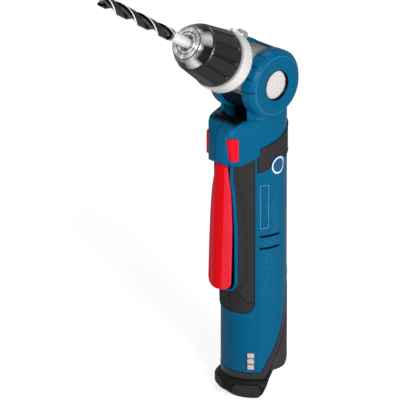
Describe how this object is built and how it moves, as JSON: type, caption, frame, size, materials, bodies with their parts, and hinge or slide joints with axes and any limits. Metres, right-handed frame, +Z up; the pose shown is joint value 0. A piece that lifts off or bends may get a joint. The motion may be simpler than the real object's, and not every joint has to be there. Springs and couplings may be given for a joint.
{
  "type": "right angle drill",
  "caption": "Cordless right angle drill with a swivelling silver gear head, keyless chuck, long trigger on a round blue handle and a slide-in battery foot.",
  "frame": {"origin": "on the handle axis, level with the lowest point of the battery foot", "axes": "+Z up along the handle, -Y towards the trigger and chuck, +X the side with the charge window"},
  "size_m": [0.0506, 0.1823, 0.3506],
  "materials": {
    "black": "satin",
    "blue": "satin",
    "brass": "plain",
    "chrome": "polished",
    "grey": "satin",
    "red": "satin",
    "rubber": "fine grain",
    "silver": "fine cast",
    "steel": "ground",
    "white": "satin"
  },
  "bodies": {
    "handle": {"left_housing": "blue", "right_housing": "blue", "left_pad": "rubber", "right_pad": "rubber", "left_rear_pad": "rubber", "right_rear_pad": "rubber", "lower_trim": "rubber", "label_plate": "blue", "badge_plate": "white", "indicator_window": "white", "indicator_lights": "white", "housing_screws": "steel", "trigger_pin": "steel", "trigger_spring": "steel", "switch_box": "black", "reverse_switch": "black", "terminal_block": "black", "terminal_blades": "brass", "motor_can": "steel", "motor_end": "black", "ring_gear": "black", "gearbox_cover": "silver", "drive_bushing": "brass", "lock_spring": "steel", "pivot_cap": "black"},
    "trigger": {"trigger": "red"},
    "plunger": {"switch_plunger": "red"},
    "selector": {"selector": "red"},
    "motor": {"motor_shaft": "steel", "motor_fan": "black", "sun_gear": "brass"},
    "carrier": {"carrier": "steel", "bevel_pinion": "steel"},
    "planet_a": {"planet_1": "steel"},
    "planet_b": {"planet_2": "steel"},
    "planet_c": {"planet_3": "steel"},
    "idler": {"idler_gear": "steel"},
    "head": {"gear_head": "silver", "head_shield": "black", "head_screw": "steel", "idler_axle": "steel", "spindle_bearing": "steel"},
    "roll": {"spindle_cage": "brass"},
    "chuck": {"spindle": "steel", "spindle_gear": "steel", "chuck_body": "steel", "chuck_nose": "chrome", "chuck_screw": "steel"},
    "sleeve": {"chuck_sleeve": "black"},
    "jaw_a": {"jaw_1": "steel"},
    "jaw_b": {"jaw_2": "steel"},
    "jaw_c": {"jaw_3": "steel"},
    "bit": {"drill_bit": "steel"},
    "button": {"lock_button": "white"},
    "battery": {"battery_shell": "black", "battery_foot": "black", "battery_cells": "grey", "battery_contacts": "brass"},
    "left_latch": {"latch_left": "rubber"},
    "right_latch": {"latch_right": "rubber"}
  },
  "joints": [
    {"name": "head_tilt", "type": "hinge", "parent": "handle", "child": "head", "pos_m": [0, 0, 0.244], "axis": [-1, 0, 0], "range_deg": [-33.75, 56.25]},
    {"name": "spindle_roll", "type": "hinge", "parent": "head", "child": "roll", "pos_m": [0, 0, 0.244], "axis": [0, -0.8315, 0.5556], "range_deg": [-90, 54]},
    {"name": "spindle_spin", "type": "hinge", "parent": "roll", "child": "chuck", "pos_m": [0, 0, 0.244], "axis": [0, -0.8315, 0.5556], "continuous": true},
    {"name": "idler_spin", "type": "hinge", "parent": "handle", "child": "idler", "pos_m": [0, 0, 0.244], "axis": [1, 0, 0], "continuous": true},
    {"name": "drive_spin", "type": "hinge", "parent": "handle", "child": "carrier", "pos_m": [0, 0, 0.2], "axis": [0, 0, 1], "continuous": true},
    {"name": "motor_spin", "type": "hinge", "parent": "handle", "child": "motor", "pos_m": [0, 0, 0.14], "axis": [0, 0, 1], "continuous": true},
    {"name": "planet_a_spin", "type": "hinge", "parent": "carrier", "child": "planet_a", "pos_m": [0.0108, 0, 0.1745], "axis": [0, 0, 1], "continuous": true},
    {"name": "planet_b_spin", "type": "hinge", "parent": "carrier", "child": "planet_b", "pos_m": [-0.0054, 0.00935, 0.1745], "axis": [0, 0, 1], "continuous": true},
    {"name": "planet_c_spin", "type": "hinge", "parent": "carrier", "child": "planet_c", "pos_m": [-0.0054, -0.00935, 0.1745], "axis": [0, 0, 1], "continuous": true},
    {"name": "sleeve_turn", "type": "hinge", "parent": "chuck", "child": "sleeve", "pos_m": [0, 0, 0.244], "axis": [0, -0.8315, 0.5556], "range_deg": [0, 720]},
    {"name": "jaw_a_slide", "type": "slide", "parent": "chuck", "child": "jaw_a", "axis": [-0.104, 0.9133, -0.3937], "range_m": [0, 0.004]},
    {"name": "jaw_b_slide", "type": "slide", "parent": "chuck", "child": "jaw_b", "axis": [-0.104, 0.7133, -0.6931], "range_m": [0, 0.004]},
    {"name": "jaw_c_slide", "type": "slide", "parent": "chuck", "child": "jaw_c", "axis": [0.2079, 0.8133, -0.5434], "range_m": [0, 0.004]},
    {"name": "bit_pull", "type": "slide", "parent": "chuck", "child": "bit", "axis": [0, -0.8315, 0.5556], "range_m": [0, 0.025]},
    {"name": "trigger_press", "type": "hinge", "parent": "handle", "child": "trigger", "pos_m": [0, -0.025, 0.181], "axis": [1, 0, 0], "range_deg": [0, 3.5], "stiffness_Nm_per_rad": 10, "springref_deg": -1.72},
    {"name": "plunger_slide", "type": "slide", "parent": "handle", "child": "plunger", "axis": [0, 1, 0], "range_m": [0, 0.00465]},
    {"name": "selector_slide", "type": "slide", "parent": "handle", "child": "selector", "axis": [1, 0, 0], "range_m": [-0.0022, 0.0022]},
    {"name": "lock_press", "type": "slide", "parent": "handle", "child": "button", "axis": [-1, 0, 0], "range_m": [0, 0.0015], "stiffness_N_per_m": 1500, "springref_m": -0.002},
    {"name": "battery_slide", "type": "slide", "parent": "handle", "child": "battery", "axis": [0, 0, -1], "range_m": [0, 0.075]},
    {"name": "right_latch_press", "type": "slide", "parent": "battery", "child": "right_latch", "axis": [-0.7071, 0.7071, 0], "range_m": [0, 0.0012], "stiffness_N_per_m": 2000, "springref_m": -0.001},
    {"name": "left_latch_press", "type": "slide", "parent": "battery", "child": "left_latch", "axis": [0.7071, 0.7071, 0], "range_m": [0, 0.0012], "stiffness_N_per_m": 2000, "springref_m": -0.001}
  ],
  "couplings": [
    {"joint": "spindle_roll", "follows": "head_tilt", "ratio": -1.6},
    {"joint": "idler_spin", "follows": "spindle_spin", "ratio": -0.625},
    {"joint": "drive_spin", "follows": "spindle_spin", "ratio": -1},
    {"joint": "motor_spin", "follows": "spindle_spin", "ratio": -4.5},
    {"joint": "planet_a_spin", "follows": "spindle_spin", "ratio": 2.8},
    {"joint": "planet_b_spin", "follows": "spindle_spin", "ratio": 2.8},
    {"joint": "planet_c_spin", "follows": "spindle_spin", "ratio": 2.8},
    {"joint": "jaw_a_slide", "follows": "sleeve_turn", "m_per_rad": 0.00031831},
    {"joint": "jaw_b_slide", "follows": "sleeve_turn", "m_per_rad": 0.00031831},
    {"joint": "jaw_c_slide", "follows": "sleeve_turn", "m_per_rad": 0.00031831},
    {"joint": "plunger_slide", "follows": "trigger_press", "m_per_rad": 0.076}
  ]
}
